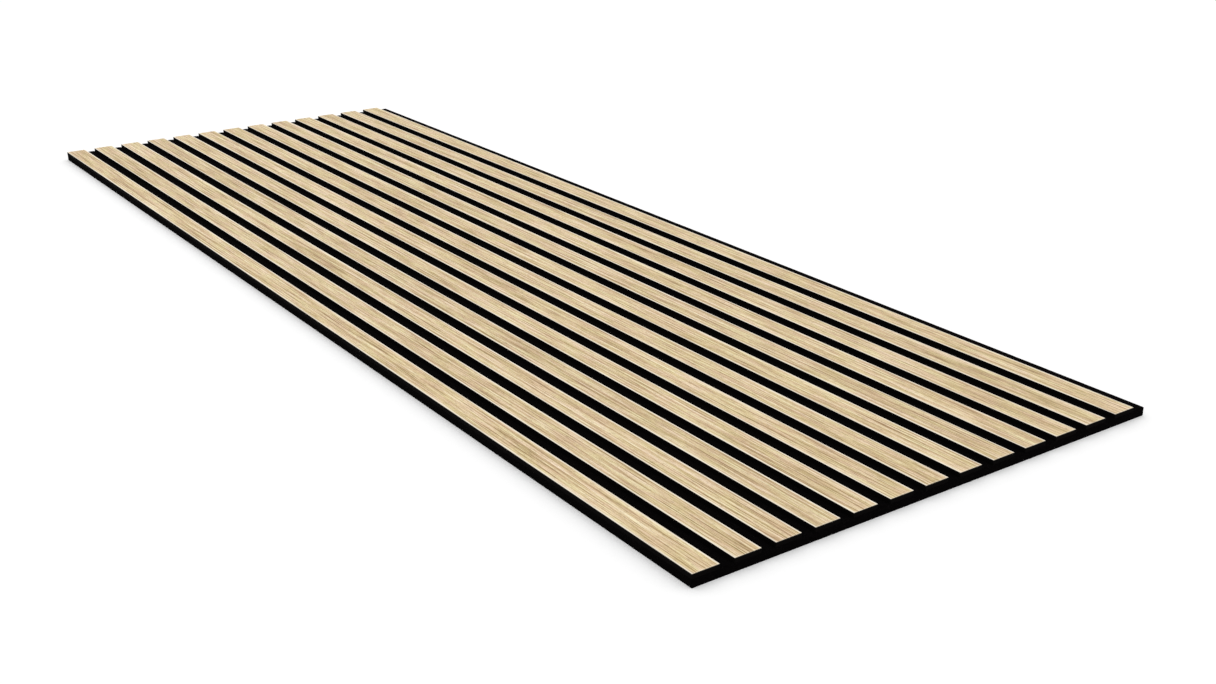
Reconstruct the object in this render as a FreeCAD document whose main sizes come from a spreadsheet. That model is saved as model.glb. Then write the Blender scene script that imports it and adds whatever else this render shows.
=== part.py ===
import FreeCAD, Part
import enum
import os

import Sketcher

# Acoustic slat wall panel, lying on its back with the slats up.
#
# A black felt board carries a row of black fibreboard slats, each faced with an oak veneer. The slats are
# glued to the felt and stapled through it from behind. The first slat is flush with one long edge of the
# felt. Beyond the last one a strip of felt stays bare, so that panels side by side keep an even gap.
#
# X runs along the slats, Y across them and Z up. The origin is the middle of the felt's back.
# All sizes are in millimetres.

SIZES = (
    ("panel_length", 1700, "length of the felt and of every slat"),
    ("felt_thickness", 9, "thickness of the felt board"),
    ("slat_count", 13, "number of slats"),
    ("slat_width", 30, "width of a slat"),
    ("slat_gap", 16, "bare felt between two slats"),
    ("edge_strip", 18, "bare felt beyond the last slat"),
    ("core_thickness", 4.4, "thickness of a slat's fibreboard"),
    ("veneer_thickness", 0.6, "thickness of a slat's oak veneer"),
    ("veneer_bevel", 0.3, "sanded bevel round the face of the veneer"),
    ("staple_rows", 5, "staples along each slat"),
    ("staple_margin", 60, "from the slat's end to its nearest staple"),
    ("staple_crown", 12.8, "width over a staple's two legs"),
    ("wire_width", 0.95, "width of the flat staple wire"),
    ("wire_thickness", 0.7, "thickness of the flat staple wire"),
    ("point_length", 1.2, "height of the slanted point of a staple's leg"),
    ("point_cover", 1, "fibreboard left between a staple's point and the veneer"),
)

PITCH = "(Sizes.slat_width + Sizes.slat_gap)"
SLAT_SPREAD = f"((Sizes.slat_count - 1) * {PITCH})"
PANEL_WIDTH = f"({SLAT_SPREAD} + Sizes.slat_width + Sizes.edge_strip)"
FIRST_SLAT_Y = f"((Sizes.slat_width - {PANEL_WIDTH}) / 2)"
FIRST_STAPLE_X = "(Sizes.staple_margin - Sizes.panel_length / 2)"
STAPLE_SPREAD = "(Sizes.panel_length - 2 * Sizes.staple_margin)"
STAPLE_LEG = "(Sizes.felt_thickness + Sizes.core_thickness - Sizes.point_cover)"

TOUCHING = 1e-6


class Spot(enum.IntEnum):
    """Which point of a sketch line a constraint holds."""

    START = 1
    END = 2


SKETCH_ORIGIN = (-1, Spot.START)

doc = FreeCAD.newDocument("AcousticSlatPanel")
sheet = doc.addObject("Spreadsheet::Sheet", "Sizes")


def fill_sheet():
    for row, (alias, value, meaning) in enumerate(SIZES, start=1):
        sheet.set(f"A{row}", alias)
        sheet.set(f"B{row}", str(value))
        sheet.setAlias(f"B{row}", alias)
        sheet.set(f"C{row}", meaning)
    doc.recompute()


def value_of(expression):
    return float(doc.getObject("Sizes").evalExpression(expression))


def new_body(name, label):
    body = doc.addObject("PartDesign::Body", name)
    body.Label = label
    return body


def origin_feature(body, role):
    return next(feature for feature in body.Origin.OriginFeatures if feature.Role == role)


def new_section(body, name):
    """A sketch across the slats: its right is the body's Y and its up is the body's Z."""
    sketch = body.newObject("Sketcher::SketchObject", name)
    sketch.AttachmentSupport = (origin_feature(body, "YZ_Plane"), [""])
    sketch.MapMode = "FlatFace"
    return sketch


def constrain(sketch, kind, *places):
    sketch.addConstraint(Sketcher.Constraint(kind, *places))


def set_size(sketch, expression, kind, *places):
    """A sized constraint that follows the sheet."""
    index = sketch.addConstraint(Sketcher.Constraint(kind, *places, value_of(expression)))
    sketch.setExpression(f"Constraints[{index}]", expression)


def add_pad(body, sketch, name, length):
    """Pads a section along X, half to each side."""
    pad = body.newObject("PartDesign::Pad", name)
    pad.Profile = sketch
    pad.Midplane = True
    pad.setExpression("Length", length)
    return pad


def draw_outline(sketch, corners):
    """A closed outline of straight lines, each held level or upright if it is drawn so."""
    ends = corners[1:] + corners[:1]
    lines = []
    for start, end in zip(corners, ends):
        segment = Part.LineSegment(FreeCAD.Vector(*start), FreeCAD.Vector(*end))
        line = sketch.addGeometry(segment, False)
        if start[1] == end[1]:
            constrain(sketch, "Horizontal", line)
        elif start[0] == end[0]:
            constrain(sketch, "Vertical", line)
        lines.append(line)
    for line, following in zip(lines, lines[1:] + lines[:1]):
        constrain(sketch, "Coincident", line, Spot.END, following, Spot.START)
    return lines


def make_board(name, label, width, thickness):
    """A board as long as the panel, standing on its own origin."""
    body = new_body(name, label)
    section = new_section(body, name + "Section")
    side = value_of(width) / 2
    top = value_of(thickness)
    bottom, right, _, _ = draw_outline(section, [(-side, 0), (side, 0), (side, top), (-side, top)])
    constrain(section, "Symmetric", bottom, Spot.START, bottom, Spot.END, *SKETCH_ORIGIN)
    set_size(section, width, "DistanceX", bottom, Spot.START, bottom, Spot.END)
    set_size(section, thickness, "DistanceY", right, Spot.START, right, Spot.END)
    add_pad(body, section, name + "Board", "Sizes.panel_length")
    return body


def place_on_slat(piece, number, height):
    """Puts a piece on the slat of that number, at a height above the felt's back."""
    piece.setExpression("Placement.Base.y", f"{FIRST_SLAT_Y} + {number - 1} * {PITCH}")
    piece.setExpression("Placement.Base.z", height)


def ease_top(body, name):
    """Bevels the four edges round the top of a board."""
    doc.recompute()
    board = body.Tip
    top = board.Shape.BoundBox.ZMax
    edges = [
        f"Edge{number}"
        for number, edge in enumerate(board.Shape.Edges, start=1)
        if edge.BoundBox.ZMin > top - TOUCHING
    ]
    bevel = body.newObject("PartDesign::Chamfer", name)
    bevel.Base = (board, edges)
    bevel.setExpression("Size", "Sizes.veneer_bevel")


def draw_staple(sketch):
    """A staple seen along its slat: its crown level with the felt's back, and its two pointed legs."""
    outside = sheet.staple_crown / 2
    inside = outside - sheet.wire_thickness
    crown = sheet.wire_thickness
    tip = value_of(STAPLE_LEG)
    shoulder = tip - sheet.point_length
    corners = [
        (-outside, 0),
        (outside, 0),
        (outside, shoulder),
        (inside, tip),
        (inside, crown),
        (-inside, crown),
        (-inside, tip),
        (-outside, shoulder),
    ]
    back, _, right_point, right_leg, front, left_leg, left_point, _ = draw_outline(sketch, corners)
    constrain(sketch, "Symmetric", back, Spot.START, back, Spot.END, *SKETCH_ORIGIN)
    set_size(sketch, "Sizes.staple_crown", "DistanceX", back, Spot.START, back, Spot.END)
    set_size(sketch, "Sizes.wire_thickness", "DistanceY", back, Spot.START, front, Spot.END)
    set_size(sketch, "Sizes.wire_thickness", "DistanceX", right_point, Spot.END, right_point, Spot.START)
    set_size(sketch, "Sizes.wire_thickness", "DistanceX", left_point, Spot.END, left_point, Spot.START)
    set_size(sketch, STAPLE_LEG, "DistanceY", back, Spot.END, right_leg, Spot.START)
    set_size(sketch, STAPLE_LEG, "DistanceY", back, Spot.START, left_leg, Spot.END)
    set_size(sketch, "Sizes.point_length", "DistanceY", right_point, Spot.START, right_point, Spot.END)
    set_size(sketch, "Sizes.point_length", "DistanceY", left_point, Spot.END, left_point, Spot.START)


def add_spread(body, name, axis, count, spread):
    """Repeats a feature along an axis over a spread."""
    pattern = body.newObject("PartDesign::LinearPattern", name)
    pattern.Direction = (origin_feature(body, axis), [""])
    pattern.setExpression("Occurrences", count)
    pattern.setExpression("Length", spread)
    return pattern


def make_staples():
    """One staple at the start of the first slat, repeated along every slat."""
    body = new_body("Staples", "staples")
    body.AllowCompound = True
    outline = new_section(body, "StapleOutline")
    draw_staple(outline)
    wire = add_pad(body, outline, "StapleWire", "Sizes.wire_width")
    doc.recompute()
    along = add_spread(body, "StapleRow", "X_Axis", "Sizes.staple_rows", STAPLE_SPREAD)
    across = add_spread(body, "StapleRows", "Y_Axis", "Sizes.slat_count", SLAT_SPREAD)
    grid = body.newObject("PartDesign::MultiTransform", "StapleGrid")
    grid.Originals = [wire]
    grid.Transformations = [along, across]
    body.Tip = grid
    body.setExpression("Placement.Base.x", FIRST_STAPLE_X)
    body.setExpression("Placement.Base.y", FIRST_SLAT_Y)
    return body


def drive_staples_into(blank, name, label, staples):
    """The blank with the slits that the staples make in it."""
    piece = doc.addObject("Part::Cut", name)
    piece.Label = label
    piece.Base = blank
    piece.Tool = staples
    return piece


def make_felt(staples):
    blank = make_board("FeltBlank", "felt_blank", PANEL_WIDTH, "Sizes.felt_thickness")
    return drive_staples_into(blank, "Felt", "felt_backing", staples)


def make_core(number, staples):
    blank = make_board(
        f"CoreBlank{number:02d}", f"core_blank_{number:02d}", "Sizes.slat_width", "Sizes.core_thickness"
    )
    place_on_slat(blank, number, "Sizes.felt_thickness")
    return drive_staples_into(blank, f"Core{number:02d}", f"slat_core_{number:02d}", staples)


def make_veneer(number):
    name = f"Veneer{number:02d}"
    body = make_board(name, f"slat_veneer_{number:02d}", "Sizes.slat_width", "Sizes.veneer_thickness")
    place_on_slat(body, number, "Sizes.felt_thickness + Sizes.core_thickness")
    ease_top(body, name + "Bevel")
    return body


def check(pieces):
    for item in doc.Objects:
        if "Invalid" in item.State or "Error" in item.State:
            raise RuntimeError(f"{item.Label} failed: {item.State}")
    for piece in pieces:
        if piece.Shape.isNull() or not piece.Shape.isValid():
            raise RuntimeError(f"{piece.Label} has no valid shape")


def export(pieces):
    os.makedirs("parts", exist_ok=True)
    for piece in pieces:
        piece.Shape.exportStep(f"parts/{piece.Label}.step")


fill_sheet()
staples = make_staples()
pieces = [staples, make_felt(staples)]
for number in range(1, int(sheet.slat_count) + 1):
    pieces.append(make_core(number, staples))
    pieces.append(make_veneer(number))
doc.recompute()
check(pieces)
export(pieces)
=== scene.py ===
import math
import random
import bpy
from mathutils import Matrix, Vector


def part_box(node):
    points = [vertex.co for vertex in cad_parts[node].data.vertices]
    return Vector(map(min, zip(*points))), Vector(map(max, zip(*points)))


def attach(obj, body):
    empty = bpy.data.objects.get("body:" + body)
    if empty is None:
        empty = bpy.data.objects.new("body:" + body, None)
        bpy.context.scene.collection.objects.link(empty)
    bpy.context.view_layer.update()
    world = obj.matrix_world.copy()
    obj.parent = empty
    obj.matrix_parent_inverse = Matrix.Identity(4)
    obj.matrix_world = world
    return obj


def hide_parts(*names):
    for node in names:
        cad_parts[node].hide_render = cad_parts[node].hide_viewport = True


bl_info = {
    "name": "Acoustic Slat Panel",
    "version": (1, 0, 0),
    "blender": (4, 5, 0),
    "location": "View3D > Sidebar > Slat Panel",
    "description": "Dresses an acoustic slat wall panel: felt, black slats, oak faces and staples",
    "category": "Object",
}

import bmesh
import bpy
from bpy.props import FloatProperty, FloatVectorProperty, IntProperty, PointerProperty
from mathutils import Vector, noise

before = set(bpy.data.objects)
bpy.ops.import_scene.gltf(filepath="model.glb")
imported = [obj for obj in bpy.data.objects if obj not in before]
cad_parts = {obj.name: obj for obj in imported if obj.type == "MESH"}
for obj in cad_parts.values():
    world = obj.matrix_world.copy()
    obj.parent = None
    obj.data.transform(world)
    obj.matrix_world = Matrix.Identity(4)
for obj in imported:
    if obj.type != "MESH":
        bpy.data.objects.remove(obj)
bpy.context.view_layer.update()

# The panel lies on its felt. X runs along the slats, Y across them and Z up, all in metres.
BODY = "root"
MM = 0.001
FELT_LOW, FELT_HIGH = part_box("felt_backing")
CORES = sorted(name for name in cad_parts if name.startswith("slat_core_"))
VENEERS = sorted(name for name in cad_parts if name.startswith("slat_veneer_"))

# The staples of the frame are bent from flat wire of this thickness, with points of this height.
WIRE_THICKNESS = 0.7 * MM
POINT_LENGTH = 1.2 * MM


def skin(name, sections):
    """A closed mesh over like sections in a row, with a flat cap at each end."""
    count = len(sections[0])
    corners = [corner for section in sections for corner in section]
    faces = []
    for row in range(len(sections) - 1):
        here, there = row * count, (row + 1) * count
        for step in range(count):
            ahead = (step + 1) % count
            faces.append((here + step, here + ahead, there + ahead, there + step))
    faces.append(tuple(reversed(range(count))))
    faces.append(tuple(range(len(corners) - count, len(corners))))
    mesh = bpy.data.meshes.new(name)
    mesh.from_pydata(corners, [], faces)
    return mesh


def merge(name, meshes):
    """One mesh from several, each kept whole, with all faces turned outwards."""
    work = bmesh.new()
    for mesh in meshes:
        work.from_mesh(mesh)
        bpy.data.meshes.remove(mesh)
    bmesh.ops.recalc_face_normals(work, faces=work.faces)
    merged = bpy.data.meshes.new(name)
    work.to_mesh(merged)
    work.free()
    return merged


def give_attribute(mesh, name, kind, field, values):
    """Stores a value at each corner of a mesh, for its finish to read."""
    mesh.attributes.new(name, kind, "POINT").data.foreach_set(field, values)


def show(name, mesh, finish, crease):
    """Puts a mesh in the scene as a piece that rides on the panel, sharp where it turns past the crease."""
    mesh.materials.append(finish)
    mesh.polygons.foreach_set("use_smooth", [True] * len(mesh.polygons))
    mesh.set_sharp_from_angle(angle=crease)
    piece = bpy.data.objects.new(name, mesh)
    bpy.context.scene.collection.objects.link(piece)
    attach(piece, BODY)
    return piece


def even_steps(start, end, largest):
    """Places from start to end, both included, no further apart than largest."""
    count = max(1, math.ceil((end - start) / largest))
    return [start + (end - start) * step / count for step in range(count + 1)]


class Finish:
    """The node tree of one material, with short calls for what the finishes share."""

    def __init__(self, name, roughness, specular):
        self.material = bpy.data.materials.new(name)
        self.material.use_nodes = True
        self.tree = self.material.node_tree
        self.shader = self.tree.nodes["Principled BSDF"]
        self.shader.inputs["Roughness"].default_value = roughness
        self.shader.inputs["Specular IOR Level"].default_value = specular

    def add(self, kind, settings=(), inputs=()):
        """A new node, with its settings and its inputs filled in."""
        node = self.tree.nodes.new(kind)
        for key, value in dict(settings).items():
            setattr(node, key, value)
        for key, value in dict(inputs).items():
            self.feed(node.inputs[key], value)
        return node

    def feed(self, socket, value):
        """Links a socket to another node's output, or sets its number or colour."""
        if isinstance(value, bpy.types.NodeSocket):
            self.tree.links.new(value, socket)
        else:
            socket.default_value = value

    def place(self):
        """The point on the panel, in metres."""
        return self.add("ShaderNodeTexCoord").outputs["Object"]

    def attribute(self, name, output):
        """What give_attribute stored on the mesh."""
        return self.add("ShaderNodeAttribute", {"attribute_name": name}).outputs[output]

    def vector_sum(self, first, second):
        return self.add("ShaderNodeVectorMath", {"operation": "ADD"}, {0: first, 1: second}).outputs[0]

    def clouds(self, place, cells, detail, roughness=0.58, distortion=0.0):
        """Noise with so many cells per metre along X, Y and Z."""
        scaled = self.add("ShaderNodeMapping", (), {"Vector": place, "Scale": cells})
        texture = self.add(
            "ShaderNodeTexNoise",
            (),
            {
                "Vector": scaled.outputs["Vector"],
                "Scale": 1.0,
                "Detail": detail,
                "Roughness": roughness,
                "Distortion": distortion,
            },
        )
        return texture.outputs["Fac"]

    def ramp(self, value, start, end, low=0.0, high=1.0):
        """Low where the value is at the start or before it, high at the end or past it, even between."""
        inputs = {"Value": value, "From Min": start, "From Max": end, "To Min": low, "To Max": high}
        return self.add("ShaderNodeMapRange", {"clamp": True}, inputs).outputs["Result"]

    def product(self, first, second):
        return self.add("ShaderNodeMath", {"operation": "MULTIPLY"}, {0: first, 1: second}).outputs[0]

    def larger(self, first, second):
        return self.add("ShaderNodeMath", {"operation": "MAXIMUM"}, {0: first, 1: second}).outputs[0]

    def blend(self, *weighed):
        """The sum of values, each times its weight."""
        total = 0.0
        for value, weight in weighed:
            inputs = {0: value, 1: weight, 2: total}
            total = self.add("ShaderNodeMath", {"operation": "MULTIPLY_ADD"}, inputs).outputs[0]
        return total

    def mix(self, share, first, second, way="MIX"):
        """Two colours mixed. The node's inputs 6 and 7 and its output 2 are the ones for colours."""
        settings = {"data_type": "RGBA", "blend_type": way}
        return self.add("ShaderNodeMix", settings, {0: share, 6: first, 7: second}).outputs[2]

    def colour(self, value):
        self.feed(self.shader.inputs["Base Color"], value)

    def roughness(self, value):
        self.feed(self.shader.inputs["Roughness"], value)

    def relief(self, height, depth):
        """Bump from a height of 0 to 1, over a depth in metres."""
        bump = self.add("ShaderNodeBump", (), {"Height": height, "Strength": 1.0, "Distance": depth})
        self.feed(self.shader.inputs["Normal"], bump.outputs["Normal"])


def opaque(colour):
    """The colour with full alpha, as sockets take it."""
    return (*colour, 1.0)


def colour_property(name, description, default):
    """A colour that the sidebar shows, in linear red, green and blue."""
    return FloatVectorProperty(
        name=name, description=description, subtype="COLOR", size=3, min=0.0, max=1.0, default=default
    )


def length_property(name, description, default):
    """A length that the sidebar shows, in metres."""
    return FloatProperty(
        name=name,
        description=description,
        default=default,
        min=0.0,
        precision=5,
        subtype="DISTANCE",
        unit="LENGTH",
    )


class OakFaceSettings(bpy.types.PropertyGroup):
    straw: colour_property("Straw", "Colour of most of the oak", (0.72, 0.555, 0.328))
    pale_streak: colour_property("Pale streak", "Palest lines of the grain", (1.0, 0.89, 0.68))
    dark_streak: colour_property("Dark streak", "Darkest lines of the grain", (0.30, 0.185, 0.072))
    rosy_patch: colour_property("Rosy patch", "Tint of the warmer patches", (1.0, 0.93, 0.915))
    yellow_patch: colour_property("Yellow patch", "Tint of the cooler patches", (0.975, 0.99, 0.83))
    pore: colour_property("Pore", "Colour inside the open pores", (0.22, 0.13, 0.055))
    # Painted highlight: the pale colour laid along the oak edges stands in for light caught on the edges.
    edge_highlight: colour_property("Sanded edge", "Colour of the sanded edges", (0.96, 0.88, 0.73))
    side_stain: colour_property("Side stain", "Black stain on the slats' sides", (0.0035, 0.0030, 0.0028))
    edge_round: length_property("Edge round", "Radius of the sanded edges", 0.5 * MM)
    edge_band: length_property("Edge band", "Width of the paler band along an edge", 2.8 * MM)
    station_gap: length_property("Station gap", "Longest mesh step along a face", 60 * MM)
    wander: length_property("Wander", "How far the grain drifts to each side", 1.2 * MM)
    relief: length_property("Relief", "Depth of the open grain", 0.08 * MM)
    seed: IntProperty(name="Seed", description="Picks each slat's own grain", default=41)


class CoreSettings(bpy.types.PropertyGroup):
    board: colour_property("Board", "Colour of the dyed fibreboard", (0.0020, 0.0016, 0.0016))
    fleck: colour_property("Fleck", "Colour of its paler fibres", (0.0090, 0.0075, 0.0070))
    relief: length_property("Relief", "Depth of its surface", 0.06 * MM)


class FeltSettings(bpy.types.PropertyGroup):
    felt: colour_property("Felt", "Colour of the felt", (0.0013, 0.0010, 0.0011))
    fibre: colour_property("Fibre", "Colour of the loose fibres on it", (0.0130, 0.0110, 0.0115))
    swell: length_property("Swell", "How far the felt rises where no slat presses it", 0.8 * MM)
    lump: length_property("Lump", "Height of its uneven surface", 0.15 * MM)
    edge_round: length_property("Edge round", "Softness of the cut edges", 0.7 * MM)
    station_gap: length_property("Station gap", "Longest mesh step along the felt", 12 * MM)
    dimple_reach: length_property("Dimple reach", "How far a staple pulls in the felt round it", 5 * MM)
    relief: length_property("Relief", "Depth of the tangled fibres", 0.5 * MM)


class StapleSettings(bpy.types.PropertyGroup):
    wire: colour_property("Wire", "Colour of the galvanised wire", (0.60, 0.61, 0.62))
    bend: length_property("Bend", "Radius outside a staple's corners", 1.0 * MM)
    wire_round: length_property("Wire round", "Radius of the wire's own edges", 0.12 * MM)
    relief: length_property("Relief", "Depth of the drawing marks", 0.02 * MM)


class StageSettings(bpy.types.PropertyGroup):
    floor: colour_property("Floor", "Colour of the floor", (0.92, 0.92, 0.92))
    floor_glow: colour_property("Floor glow", "Lifts the floor that is seen to white", (0.135, 0.135, 0.135))
    floor_size: length_property("Floor size", "Side of the square floor", 14.0)
    fill: FloatProperty(
        name="Fill",
        description="Strength of the light from all round",
        default=0.95,
        min=0.0,
        max=1.0,
        subtype="FACTOR",
    )
    lamp_place: FloatVectorProperty(
        name="Lamp place",
        description="Where the overhead lamp hangs, aimed at the panel's middle",
        size=3,
        default=(-0.6, 0.6, 2.6),
        subtype="TRANSLATION",
        unit="LENGTH",
    )
    lamp_size: length_property("Lamp size", "Width of the round overhead lamp", 2.2)
    lamp_power: FloatProperty(
        name="Lamp power", description="Power of the overhead lamp", default=6.0, unit="POWER"
    )
    focal_length: FloatProperty(
        name="Focal length", description="Camera lens on a 36 mm sensor", default=44.31, unit="CAMERA"
    )
    turn: FloatProperty(
        name="Turn",
        description="Camera's turn round the panel",
        default=math.radians(54.70),
        subtype="ANGLE",
    )
    height: FloatProperty(
        name="Height",
        description="Camera's angle above the floor",
        default=math.radians(21.68),
        subtype="ANGLE",
    )
    beyond_end: length_property("Beyond the end", "Camera's place past the near end", 0.8403)
    before_side: length_property("Before the side", "Camera's place in front of the flush side", 0.6800)
    above_floor: length_property("Above the floor", "Camera's place above the floor", 0.6494)


class SlatPanelSettings(bpy.types.PropertyGroup):
    oak: PointerProperty(name="Oak faces", description="Oak veneers", type=OakFaceSettings)
    core: PointerProperty(name="Slat cores", description="Fibreboard under them", type=CoreSettings)
    felt: PointerProperty(name="Felt", description="Felt backing", type=FeltSettings)
    staple: PointerProperty(name="Staples", description="Staples in the back", type=StapleSettings)
    stage: PointerProperty(name="Stage", description="Floor, light and camera", type=StageSettings)


def oak_finish(look):
    """Straight-grained oak veneer: streaks and pores along X, patches of tint, and a painted highlight along
    the edges.
    """
    finish = Finish("oak_face", roughness=0.55, specular=0.35)

    # Each slat has its own part of the wood, and the grain drifts a little to each side.
    place = finish.vector_sum(finish.place(), finish.attribute("board_shift", "Vector"))
    drift = finish.clouds(place, cells=(7.0, 40.0, 20.0), detail=2.0)
    drift = finish.ramp(drift, 0.0, 1.0, -look.wander, look.wander)
    sideways = finish.add("ShaderNodeCombineXYZ", (), {"Y": drift}).outputs["Vector"]
    place = finish.vector_sum(place, sideways)

    # Three widths of streak make the grain, which turns the straw colour darker or paler.
    streaks = finish.clouds(place, cells=(6.0, 560.0, 60.0), detail=2.0)
    fibres = finish.clouds(place, cells=(20.0, 1150.0, 150.0), detail=2.0)
    hairlines = finish.clouds(place, cells=(30.0, 3600.0, 400.0), detail=2.0)
    grain = finish.blend((streaks, 0.44), (fibres, 0.39), (hairlines, 0.17))
    wood = finish.mix(finish.ramp(grain, 0.50, 0.385), opaque(look.straw), opaque(look.dark_streak))
    wood = finish.mix(finish.ramp(grain, 0.50, 0.62), wood, opaque(look.pale_streak))

    # Over the grain lie patches of tint, the open pores and the slat's own tone.
    patches = finish.ramp(finish.clouds(place, cells=(24.0, 130.0, 30.0), detail=2.0), 0.38, 0.62)
    tint = finish.mix(patches, opaque(look.yellow_patch), opaque(look.rosy_patch))
    wood = finish.mix(1.0, wood, tint, "MULTIPLY")
    pores = finish.ramp(finish.clouds(place, cells=(130.0, 3400.0, 450.0), detail=1.0), 0.58, 0.64)
    wood = finish.mix(finish.product(pores, 0.6), wood, opaque(look.pore))
    wood = finish.mix(1.0, wood, finish.attribute("board_tone", "Color"), "MULTIPLY")

    # A painted highlight makes the edges pale, most where the grain is pale, and the sides are stained
    # black.
    highlight_share = finish.blend((finish.attribute("painted_highlight", "Fac"), 1.0), (finish.ramp(grain, 0.4, 0.6), 0.3))
    wood = finish.mix(finish.ramp(highlight_share, 0.3, 1.15, 0.0, 0.9), wood, opaque(look.edge_highlight))
    finish.colour(finish.mix(finish.attribute("stained", "Fac"), wood, opaque(look.side_stain)))
    finish.roughness(finish.ramp(grain, 0.35, 0.65, 0.62, 0.5))
    finish.relief(finish.blend((fibres, 0.4), (hairlines, 0.3), (pores, -0.3)), look.relief)
    return finish.material


def core_finish(look):
    """Black dyed fibreboard: fine fibres pressed flat, and pale flecks."""
    finish = Finish("black_fibreboard", roughness=0.9, specular=0.02)
    place = finish.place()
    fibres = finish.clouds(place, cells=(900.0, 900.0, 2600.0), detail=3.0, roughness=0.6)
    dust = finish.clouds(place, cells=(3500.0, 3500.0, 3500.0), detail=2.0)
    flecks = finish.ramp(finish.product(fibres, dust), 0.30, 0.45)
    finish.colour(finish.mix(flecks, opaque(look.board), opaque(look.fleck)))
    finish.relief(fibres, look.relief)
    return finish.material


def felt_finish(look):
    """Black needled felt: tangled fibres in two directions and soft pits."""
    finish = Finish("black_felt", roughness=1.0, specular=0.01)
    place = finish.place()
    along = finish.clouds(place, cells=(260.0, 1500.0, 700.0), detail=3.0, roughness=0.6, distortion=2.5)
    across = finish.clouds(place, cells=(1500.0, 260.0, 700.0), detail=3.0, roughness=0.6, distortion=2.5)
    pits = finish.clouds(place, cells=(420.0, 420.0, 420.0), detail=2.0)
    tangle = finish.larger(along, across)
    finish.colour(finish.mix(finish.ramp(tangle, 0.58, 0.80), opaque(look.felt), opaque(look.fibre)))
    finish.relief(finish.blend((tangle, 0.6), (pits, 0.4)), look.relief)
    return finish.material


def staple_finish(look):
    """Galvanised wire, drawn along its length, with a dull bloom."""
    finish = Finish("galvanised_wire", roughness=0.34, specular=0.5)
    finish.shader.inputs["Metallic"].default_value = 1.0
    finish.colour(opaque(look.wire))
    place = finish.place()
    drawn = finish.clouds(place, cells=(9000.0, 500.0, 9000.0), detail=2.0)
    bloom = finish.clouds(place, cells=(1200.0, 1200.0, 1200.0), detail=2.0)
    finish.roughness(finish.ramp(bloom, 0.3, 0.7, 0.28, 0.5))
    finish.relief(drawn, look.relief)
    return finish.material


# How strong the painted highlight is along each edge of an oak face, at its rounding and half way across the
# pale band.
SIDE_HIGHLIGHT, SIDE_FADE = 1.0, 0.8
END_HIGHLIGHT, END_FADE = 0.5, 0.3

# The share of the rounding's height, from the top down, that the black stain leaves free.
STAIN_FREE = 0.25

# Each oak face takes its grain from up to this far along each axis, and a tone between these two.
GRAIN_SHIFT = 9
DARKEST_TONE, PALEST_TONE = 0.965, 1.025


def rounding(radius):
    """A quarter turn of an edge as (inset from the side, drop from the top), from the side up."""
    steps = 4
    angles = [math.radians(90) * step / steps for step in range(steps + 1)]
    return [(radius * (1 - math.cos(angle)), radius * (1 - math.sin(angle))) for angle in angles]


def oak_section(low, high, look):
    """The outline across an oak face, as (y, z, share of painted highlight) points, with its two top edges
    rounded.
    """
    band = look.edge_band
    right = [(high.y, low.z, SIDE_HIGHLIGHT)]
    for inset, drop in rounding(look.edge_round):
        right.append((high.y - inset, high.z - drop, SIDE_HIGHLIGHT))
    right.append((high.y - band / 2, high.z, SIDE_FADE))
    right.append((high.y - band, high.z, 0.0))
    middle = (low.y + high.y) / 2
    left = [(2 * middle - y, z, painted_highlight) for y, z, painted_highlight in reversed(right)]
    return right + [(middle, high.z, 0.0)] + left


def oak_stations(low, high, look):
    """Places along an oak face as (x, top, share of painted highlight), with both ends rounded like the
    edges.
    """
    band = look.edge_band
    end = [(inset, high.z - drop, END_HIGHLIGHT) for inset, drop in rounding(look.edge_round)]
    end += [(band / 2, high.z, END_FADE), (band, high.z, 0.0)]
    first = [(low.x + inset, top, painted_highlight) for inset, top, painted_highlight in end]
    last = [(high.x - inset, top, painted_highlight) for inset, top, painted_highlight in reversed(end)]
    between = even_steps(low.x + band, high.x - band, look.station_gap)[1:-1]
    return first + [(x, high.z, 0.0) for x in between] + last


def make_oak_face(node, look, finish, chance):
    """One oak veneer with its own grain, tone and a painted highlight along its edges."""
    low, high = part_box(node)
    outline = oak_section(low, high, look)
    stations = oak_stations(low, high, look)
    sections = [[(x, y, min(z, top)) for y, z, _ in outline] for x, top, _ in stations]
    mesh = merge(node, [skin("strip", sections)])

    # Share of the painted highlight at each corner, the larger of the one from the ends and the one from the
    # sides.
    painted_highlight = [max(end, side) for _, _, end in stations for _, _, side in outline]
    stain_top = high.z - STAIN_FREE * look.edge_round
    stained = [1.0 if corner.co.z < stain_top else 0.0 for corner in mesh.vertices]
    shift = [chance.uniform(-GRAIN_SHIFT, GRAIN_SHIFT) for axis in range(3)]
    tone = chance.uniform(DARKEST_TONE, PALEST_TONE)
    give_attribute(mesh, "painted_highlight", "FLOAT", "value", painted_highlight)
    give_attribute(mesh, "stained", "FLOAT", "value", stained)
    give_attribute(mesh, "board_shift", "FLOAT_VECTOR", "vector", shift * len(painted_highlight))
    give_attribute(mesh, "board_tone", "FLOAT_COLOR", "color", [tone, tone, tone, 1.0] * len(painted_highlight))

    piece = show(node.replace("slat_veneer", "oak_face"), mesh, finish, math.radians(50))
    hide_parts(node)


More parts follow.
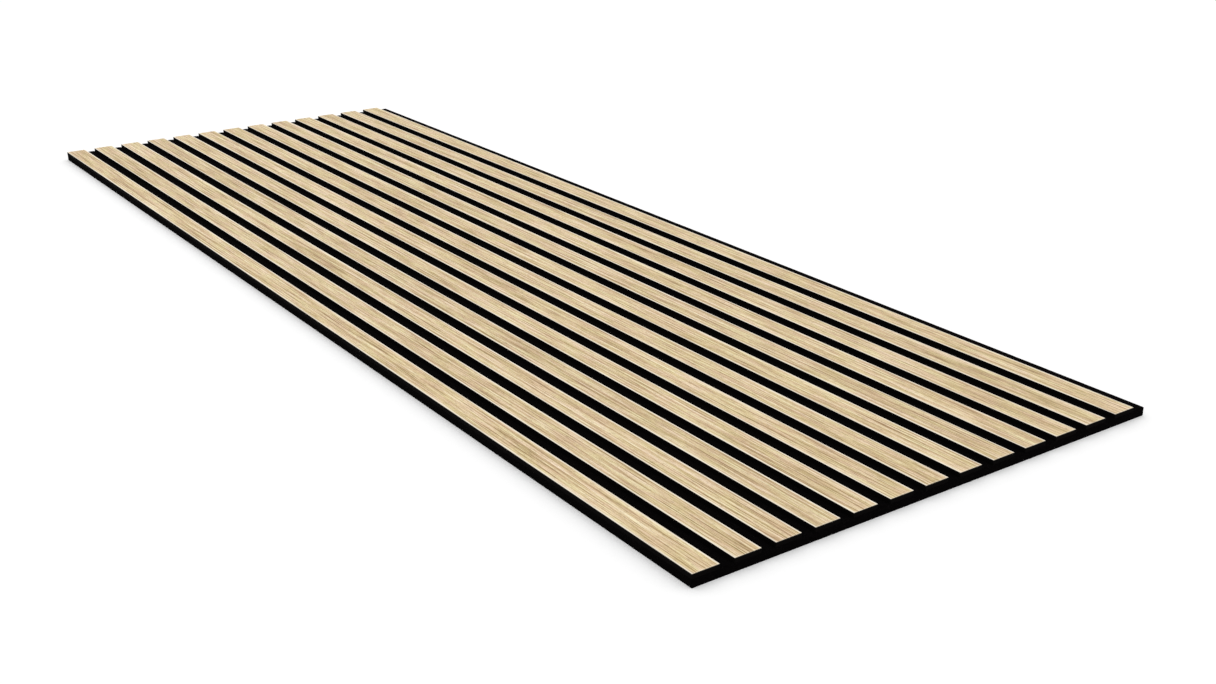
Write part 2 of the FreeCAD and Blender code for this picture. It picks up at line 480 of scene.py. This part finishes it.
def staple_boxes():
    """The lowest and highest corner of each staple of the frame, in order."""
    work = bmesh.new()
    work.from_mesh(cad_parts["staples"].data)
    bmesh.ops.remove_doubles(work, verts=work.verts, dist=0.001 * MM)
    boxes = []
    waiting = set(work.verts)
    while waiting:
        group = [waiting.pop()]
        for corner in group:
            for edge in corner.link_edges:
                neighbour = edge.other_vert(corner)
                if neighbour in waiting:
                    waiting.remove(neighbour)
                    group.append(neighbour)
        places = [corner.co for corner in group]
        low = Vector([min(place[axis] for place in places) for axis in range(3)])
        high = Vector([max(place[axis] for place in places) for axis in range(3)])
        boxes.append((low, high))
    work.free()
    # Rounded to 0.01 mm, so that staples in line with each other count as level.
    return sorted(boxes, key=lambda box: tuple(round(value, 5) for value in box[0]))


def near_staples(boxes, axis, offsets):
    """Mesh lines round each staple along one axis, at offsets beyond its sides, to the micrometre."""
    lines = set()
    for low, high in boxes:
        for offset in offsets:
            lines.add(round(low[axis] - offset, 6))
            lines.add(round(high[axis] + offset, 6))
    return lines


def spaced(lines, least):
    """The lines in order, without those too close to the one before."""
    kept = []
    for line in sorted(lines):
        if not kept or line - kept[-1] > least:
            kept.append(line)
    return kept


class FeltShape:
    """Heights of the felt's top and back, and the mesh lines that show them."""

    # Cells per metre of the noise that makes the top and the cut edge uneven, and the slice each takes.
    LUMPS_ALONG, LUMPS_ACROSS, TOP_SLICE = 55, 180, 3.0
    RIPPLES_ALONG, EDGE_SLICE = 90, 9.0

    # The middle of a softened corner lies this share of its radius inside the sharp one.
    CORNER_SHARE = 0.3

    # The hollow behind a staple is this much deeper than the wire, and the dimple beside it this deep,
    # both as shares of the wire's thickness. The hollow reaches this far past the wire.
    HOLLOW_EXTRA, DIMPLE_SHARE = 0.15, 0.8
    HOLLOW_REACH = 0.05 * MM

    # Mesh lines round a staple, outside its sides and inside its crown, and the least space between two.
    LINES_OUTSIDE = (0.0, 0.2 * MM, 0.7 * MM, 1.5 * MM, 2.7 * MM, 4.5 * MM)
    LINE_INSIDE = -3.0 * MM
    LEAST_SPACE = 0.15 * MM

    # Mesh steps across each bare strip of the top.
    GAP_STEPS = 10

    def __init__(self, look):
        self.look = look
        self.edge = look.edge_round
        self.corner = look.edge_round * self.CORNER_SHARE
        self.staples = staple_boxes()
        self.slats = [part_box(name) for name in CORES]

    def gaps(self):
        """The bare strips of felt as (start, end) across the panel."""
        ends = [high.y for _, high in self.slats]
        starts = [low.y for low, _ in self.slats[1:]] + [FELT_HIGH.y]
        return list(zip(ends, starts))

    def top(self, x, y):
        """Flat under the slats, and swollen between them and out to the edge beyond the last one."""
        for start, end in self.gaps():
            if start < y < end:
                share = (y - start) / (end - start)
                across = share - 1 if end == FELT_HIGH.y else 2 * share - 1
                lumps = noise.noise(Vector((x * self.LUMPS_ALONG, y * self.LUMPS_ACROSS, self.TOP_SLICE)))
                return FELT_HIGH.z + (1 - across**4) * (self.look.swell + self.look.lump * lumps)
        return FELT_HIGH.z

    def back(self, x, y):
        """The back is flat, but for the hollow that each staple pulls into it."""
        reach = self.look.dimple_reach
        for low, high in self.staples:
            away_x = max(low.x - x, 0.0, x - high.x)
            away_y = max(low.y - y, 0.0, y - high.y)
            away = math.hypot(away_x, away_y)
            if away < reach:
                pull = (1 - away / reach) ** 3
                depth = self.HOLLOW_EXTRA + pull if away < self.HOLLOW_REACH else self.DIMPLE_SHARE * pull
                return FELT_LOW.z + WIRE_THICKNESS * depth
        return FELT_LOW.z

    def back_lines(self, axis, offsets):
        """Mesh lines of the back along one axis: evenly spaced, and closer together round the staples."""
        start, end = FELT_LOW[axis] + 2 * self.edge, FELT_HIGH[axis] - 2 * self.edge
        lines = set(even_steps(start, end, self.look.station_gap))
        lines |= near_staples(self.staples, axis, offsets)
        return spaced(lines, self.LEAST_SPACE)

    def top_lines(self):
        """Lines across the top: close together in the gaps, none under the slats."""
        lines = []
        for start, end in self.gaps():
            lines += [start + (end - start) * step / self.GAP_STEPS for step in range(self.GAP_STEPS + 1)]
        lines[-1] = FELT_HIGH.y - self.edge
        return lines

    def section(self, x, inset, back_lines, top_lines):
        """The outline across the felt, drawn in by an inset where an end is rounded."""
        edge, corner = self.edge, self.corner
        low_y, high_y = FELT_LOW.y + inset, FELT_HIGH.y - inset
        low_z = FELT_LOW.z + inset
        rim_z = self.top(x, top_lines[-1]) - inset
        points = [(low_y + corner, low_z + corner), (low_y + edge, low_z)]
        points += [(y, max(self.back(x, y), low_z)) for y in back_lines]
        points += [(high_y - edge, low_z), (high_y - corner, low_z + corner)]
        ripple = noise.noise(Vector((x * self.RIPPLES_ALONG, 0.0, self.EDGE_SLICE))) * self.look.lump
        points += [(high_y + ripple, low_z + edge), (high_y + ripple, rim_z - edge)]
        points += [(high_y - corner, rim_z - corner)]
        points += [(y, self.top(x, y) - inset) for y in reversed(top_lines)]
        points += [(low_y, FELT_HIGH.z - inset), (low_y, low_z + edge)]
        return [(x, y, z) for y, z in points]

    def mesh(self):
        edge, corner = self.edge, self.corner
        stations = [(FELT_LOW.x, edge), (FELT_LOW.x + corner, corner), (FELT_LOW.x + edge, 0.0)]
        stations += [(x, 0.0) for x in self.back_lines(0, self.LINES_OUTSIDE)]
        stations += [(FELT_HIGH.x - edge, 0.0), (FELT_HIGH.x - corner, corner), (FELT_HIGH.x, edge)]
        across = self.back_lines(1, (self.LINE_INSIDE, *self.LINES_OUTSIDE))
        top_lines = self.top_lines()
        return skin("felt", [self.section(x, inset, across, top_lines) for x, inset in stations])


def staple_line(low, high, look):
    """The middle of a staple's wire, from tip to tip, as (y, z, share of its thickness, heading)."""
    tip_share, tip_clearance = 0.25, 0.01 * MM
    bend_steps = 5
    bend = look.bend - WIRE_THICKNESS / 2
    left, right = low.y + WIRE_THICKNESS / 2, high.y - WIRE_THICKNESS / 2
    crown = low.z + WIRE_THICKNESS / 2
    line = [
        (left, high.z - tip_clearance, tip_share, 90.0),
        (left, high.z - POINT_LENGTH, 1.0, 90.0),
        (left, crown + bend, 1.0, 90.0),
    ]
    for step in range(1, bend_steps + 1):
        turn = 90 * step / bend_steps
        y = left + bend * (1 - math.cos(math.radians(turn)))
        z = crown + bend * (1 - math.sin(math.radians(turn)))
        line.append((y, z, 1.0, 90.0 - turn))
    mirrored = [(left + right - y, z, share, -heading) for y, z, share, heading in reversed(line)]
    return line + mirrored


def wire_outline(width, look):
    """The outline across the flat wire, as (along the slat, through the wire), with its edges rounded."""
    side, face = width / 2, WIRE_THICKNESS / 2
    cut = look.wire_round
    return [
        (side - cut, face),
        (side, face - cut),
        (side, cut - face),
        (side - cut, -face),
        (cut - side, -face),
        (-side, cut - face),
        (-side, face - cut),
        (cut - side, face),
    ]


def staple_mesh(low, high, look):
    """A bent wire staple in its box: two pointed legs, round corners and a flat crown."""
    middle = (low.x + high.x) / 2
    outline = wire_outline(high.x - low.x, look)
    sections = []
    for y, z, share, heading in staple_line(low, high, look):
        across = math.radians(heading)
        section = []
        for along, through in outline:
            offset = through * share
            section.append((middle + along, y + offset * math.sin(across), z + offset * math.cos(across)))
        sections.append(section)
    return skin("staple", sections)


def seen_directly(tree):
    """One for rays from the camera and for those mirrored or passed on by a surface, else zero."""
    rays = tree.nodes.new("ShaderNodeLightPath")
    total = rays.outputs["Is Camera Ray"]
    for name in ("Is Glossy Ray", "Is Transmission Ray"):
        larger = tree.nodes.new("ShaderNodeMath")
        larger.operation = "MAXIMUM"
        tree.links.new(total, larger.inputs[0])
        tree.links.new(rays.outputs[name], larger.inputs[1])
        total = larger.outputs[0]
    return total


def floor_finish(look):
    """A matte floor that keeps the panel's shadow and looks white beyond it."""
    material = bpy.data.materials.new("studio_floor")
    material.use_nodes = True
    tree = material.node_tree
    tree.nodes.remove(tree.nodes["Principled BSDF"])
    matte = tree.nodes.new("ShaderNodeBsdfDiffuse")
    matte.inputs["Color"].default_value = opaque(look.floor)
    glow = tree.nodes.new("ShaderNodeEmission")
    tree.links.new(seen_directly(tree), glow.inputs["Strength"])
    glow.inputs["Color"].default_value = opaque(look.floor_glow)
    both = tree.nodes.new("ShaderNodeAddShader")
    tree.links.new(matte.outputs[0], both.inputs[0])
    tree.links.new(glow.outputs[0], both.inputs[1])
    tree.links.new(both.outputs[0], tree.nodes["Material Output"].inputs["Surface"])
    return material


def make_floor(look):
    """A square floor, just below the felt so that the two don't share a plane."""
    half = look.floor_size / 2
    clearance = 0.05 * MM
    mesh = bpy.data.meshes.new("floor")
    corners = [(-half, -half, 0.0), (half, -half, 0.0), (half, half, 0.0), (-half, half, 0.0)]
    mesh.from_pydata(corners, [], [(0, 1, 2, 3)])
    mesh.materials.append(floor_finish(look))
    floor = bpy.data.objects.new("floor", mesh)
    floor.location.z = FELT_LOW.z - clearance
    bpy.context.scene.collection.objects.link(floor)


def white_surroundings(world, fill):
    """A white backdrop that lights the panel evenly, at the strength fill."""
    world.use_nodes = True
    tree = world.node_tree
    background = tree.nodes["Background"]
    background.inputs["Color"].default_value = (1.0, 1.0, 1.0, 1.0)
    strength = tree.nodes.new("ShaderNodeMapRange")
    strength.inputs["To Min"].default_value = fill
    strength.inputs["To Max"].default_value = 1.0
    tree.links.new(seen_directly(tree), strength.inputs["Value"])
    tree.links.new(strength.outputs["Result"], background.inputs["Strength"])


def hang_lamp(look):
    """A wide round lamp overhead, for a soft shadow."""
    light = bpy.data.lights.new("overhead_lamp", "AREA")
    light.shape = "DISK"
    light.size = look.lamp_size
    light.energy = look.lamp_power
    lamp = bpy.data.objects.new("overhead_lamp", light)
    lamp.location = look.lamp_place
    lamp.rotation_mode = "QUATERNION"
    lamp.rotation_quaternion = (-Vector(look.lamp_place)).to_track_quat("-Z", "Y")
    bpy.context.scene.collection.objects.link(lamp)


def set_camera(look):
    """The camera beyond the near end, looking along the panel from its flush side."""
    lens = bpy.data.cameras.new("camera")
    lens.lens = look.focal_length
    lens.sensor_width = 36.0
    lens.clip_start = 0.01
    camera = bpy.data.objects.new("camera", lens)
    camera.location = (
        FELT_HIGH.x + look.beyond_end,
        FELT_LOW.y - look.before_side,
        FELT_LOW.z + look.above_floor,
    )
    flat = math.cos(look.height)
    back = Vector((math.sin(look.turn) * flat, -math.cos(look.turn) * flat, math.sin(look.height)))
    camera.rotation_mode = "QUATERNION"
    camera.rotation_quaternion = (-back).to_track_quat("-Z", "Y")
    bpy.context.scene.collection.objects.link(camera)
    bpy.context.scene.camera = camera


class SLATPANEL_OT_felt(bpy.types.Operator):
    """Makes the felt backing, swollen between the slats and dimpled round the staples"""

    bl_idname = "slat_panel.felt"
    bl_label = "Felt backing"

    def execute(self, context):
        look = context.scene.slat_panel.felt
        mesh = merge("felt", [FeltShape(look).mesh()])
        piece = show("felt_board", mesh, felt_finish(look), math.radians(60))
        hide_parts("felt_backing")
        return {"FINISHED"}


class SLATPANEL_OT_cores(bpy.types.Operator):
    """Gives the fibreboard slats their black finish"""

    bl_idname = "slat_panel.cores"
    bl_label = "Slat cores"

    def execute(self, context):
        finish = core_finish(context.scene.slat_panel.core)
        for name in CORES:
            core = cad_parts[name]
            core.data.materials.clear()
            core.data.materials.append(finish)
        return {"FINISHED"}


class SLATPANEL_OT_oak_faces(bpy.types.Operator):
    """Makes the oak veneer on each slat"""

    bl_idname = "slat_panel.oak_faces"
    bl_label = "Oak faces"

    def execute(self, context):
        look = context.scene.slat_panel.oak
        finish = oak_finish(look)
        chance = random.Random(look.seed)
        for node in VENEERS:
            make_oak_face(node, look, finish, chance)
        return {"FINISHED"}


class SLATPANEL_OT_staples(bpy.types.Operator):
    """Makes the wire staples in the back"""

    bl_idname = "slat_panel.staples"
    bl_label = "Staples"

    def execute(self, context):
        look = context.scene.slat_panel.staple
        mesh = merge("staples", [staple_mesh(low, high, look) for low, high in staple_boxes()])
        piece = show("wire_staples", mesh, staple_finish(look), math.radians(40))
        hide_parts("staples")
        return {"FINISHED"}


class SLATPANEL_OT_stage(bpy.types.Operator):
    """Makes the floor, the soft light and the camera"""

    bl_idname = "slat_panel.stage"
    bl_label = "Stage"

    def execute(self, context):
        look = context.scene.slat_panel.stage
        make_floor(look)
        if context.scene.world is None:
            context.scene.world = bpy.data.worlds.new("studio")
        white_surroundings(context.scene.world, look.fill)
        hang_lamp(look)
        set_camera(look)
        context.scene.view_settings.view_transform = "Standard"
        return {"FINISHED"}


STEPS = (
    SLATPANEL_OT_felt,
    SLATPANEL_OT_cores,
    SLATPANEL_OT_oak_faces,
    SLATPANEL_OT_staples,
    SLATPANEL_OT_stage,
)


class SLATPANEL_PT_sidebar(bpy.types.Panel):
    """Lists the steps that dress the panel, and what can be changed"""

    bl_idname = "SLATPANEL_PT_sidebar"
    bl_label = "Slat Panel"
    bl_space_type = "VIEW_3D"
    bl_region_type = "UI"
    bl_category = "Slat Panel"

    def draw(self, context):
        layout = self.layout
        for step in STEPS:
            layout.operator(step.bl_idname)
        settings = context.scene.slat_panel
        for group in (settings.felt, settings.core, settings.oak, settings.staple, settings.stage):
            box = layout.box()
            for name in group.__annotations__:
                box.prop(group, name)


CLASSES = (
    OakFaceSettings,
    CoreSettings,
    FeltSettings,
    StapleSettings,
    StageSettings,
    SlatPanelSettings,
    *STEPS,
    SLATPANEL_PT_sidebar,
)


def register():
    for cls in CLASSES:
        bpy.utils.register_class(cls)
    bpy.types.Scene.slat_panel = PointerProperty(
        name="Slat panel", description="Sizes and colours of the slat panel", type=SlatPanelSettings
    )


def unregister():
    del bpy.types.Scene.slat_panel
    for cls in reversed(CLASSES):
        bpy.utils.unregister_class(cls)


def main():
    register()
    bpy.ops.slat_panel.felt()
    bpy.ops.slat_panel.cores()
    bpy.ops.slat_panel.oak_faces()
    bpy.ops.slat_panel.staples()
    bpy.ops.slat_panel.stage()


if __name__ == "__main__":
    main()
